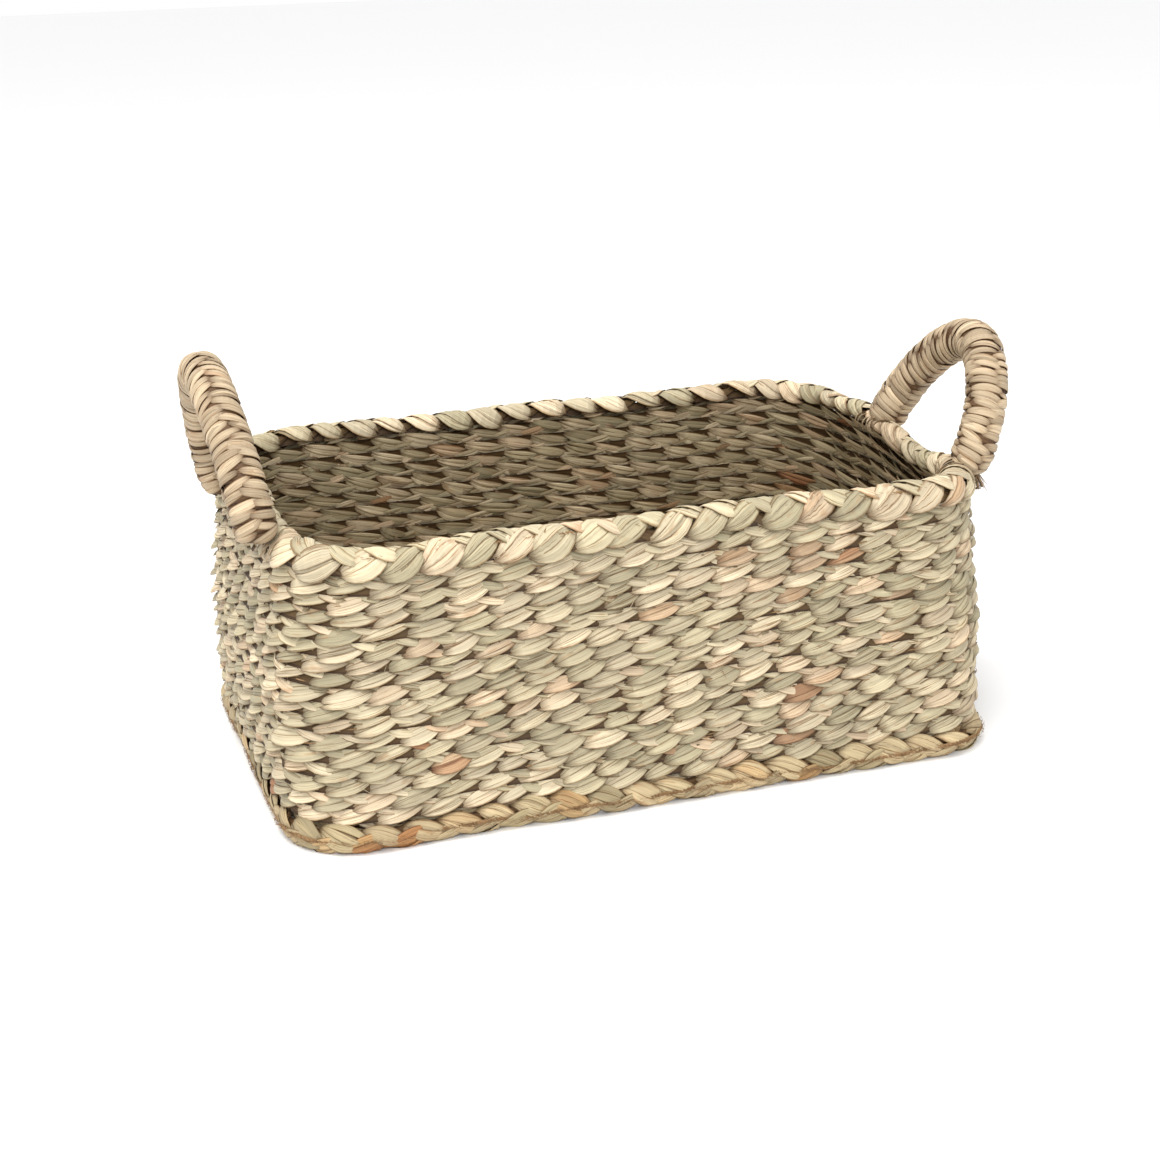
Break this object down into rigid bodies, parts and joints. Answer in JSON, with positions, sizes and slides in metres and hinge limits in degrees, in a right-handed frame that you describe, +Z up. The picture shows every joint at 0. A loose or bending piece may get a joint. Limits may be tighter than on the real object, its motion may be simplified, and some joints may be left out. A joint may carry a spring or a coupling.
{
  "type": "storage basket",
  "caption": "Rectangular storage basket wound from overlapping flat seagrass plaits, with a folded plaited rim and two wrapped loop handles lashed over the rim at its ends",
  "frame": {"origin": "middle of the flat underside, on the surface the basket stands on", "axes": "+Z up; +X along the basket's long side, towards the right handle; +Y towards the back"},
  "size_m": [0.4284, 0.24, 0.2275],
  "materials": {
    "seagrass_wall": "dry plaited seagrass, matt, straw to grey-green",
    "seagrass_base": "dry plaited seagrass, matt, darker straw",
    "seagrass_wrap": "flat seagrass blades wound tight, matt, warm beige",
    "grass_core": "bundled dry grass, matt brown",
    "jute_thread": "hairy twisted thread, matt brown"
  },
  "bodies": {
    "basket": {"wall_course_01": "seagrass_wall", "wall_course_02": "seagrass_wall", "wall_course_03": "seagrass_wall", "wall_course_04": "seagrass_wall", "wall_course_05": "seagrass_wall", "wall_course_06": "seagrass_wall", "wall_course_07": "seagrass_wall", "wall_course_08": "seagrass_wall", "wall_course_09": "seagrass_wall", "wall_course_10": "seagrass_wall", "wall_course_11": "seagrass_wall", "wall_course_12": "seagrass_wall", "wall_course_13": "seagrass_wall", "wall_course_14": "seagrass_wall", "wall_course_15": "seagrass_wall", "wall_course_16": "seagrass_wall", "rim_plait": "seagrass_wall", "rim_thread": "jute_thread", "base_turn_01": "seagrass_base", "base_turn_02": "seagrass_base", "base_turn_03": "seagrass_base", "base_turn_04": "seagrass_base", "base_turn_05": "seagrass_base", "base_turn_06": "seagrass_base", "base_centre_strip": "seagrass_base", "base_edge_plait": "seagrass_base", "base_thread": "jute_thread", "left_handle_front_lashing": "seagrass_wrap", "left_handle_back_lashing": "seagrass_wrap", "right_handle_front_lashing": "seagrass_wrap", "right_handle_back_lashing": "seagrass_wrap"},
    "left_handle": {"left_handle_core": "grass_core", "left_handle_wrap": "seagrass_wrap"},
    "right_handle": {"right_handle_core": "grass_core", "right_handle_wrap": "seagrass_wrap"}
  },
  "joints": [
    {"name": "left_handle_bend", "type": "hinge", "parent": "basket", "child": "left_handle", "pos_m": [-0.19067, -0.0135, 0.1637], "axis": [0, -1, 0], "range_deg": [-17, 29]},
    {"name": "right_handle_bend", "type": "hinge", "parent": "basket", "child": "right_handle", "pos_m": [0.18868, -0.0385, 0.1637], "axis": [0, 1, 0], "range_deg": [-34, 12]}
  ]
}
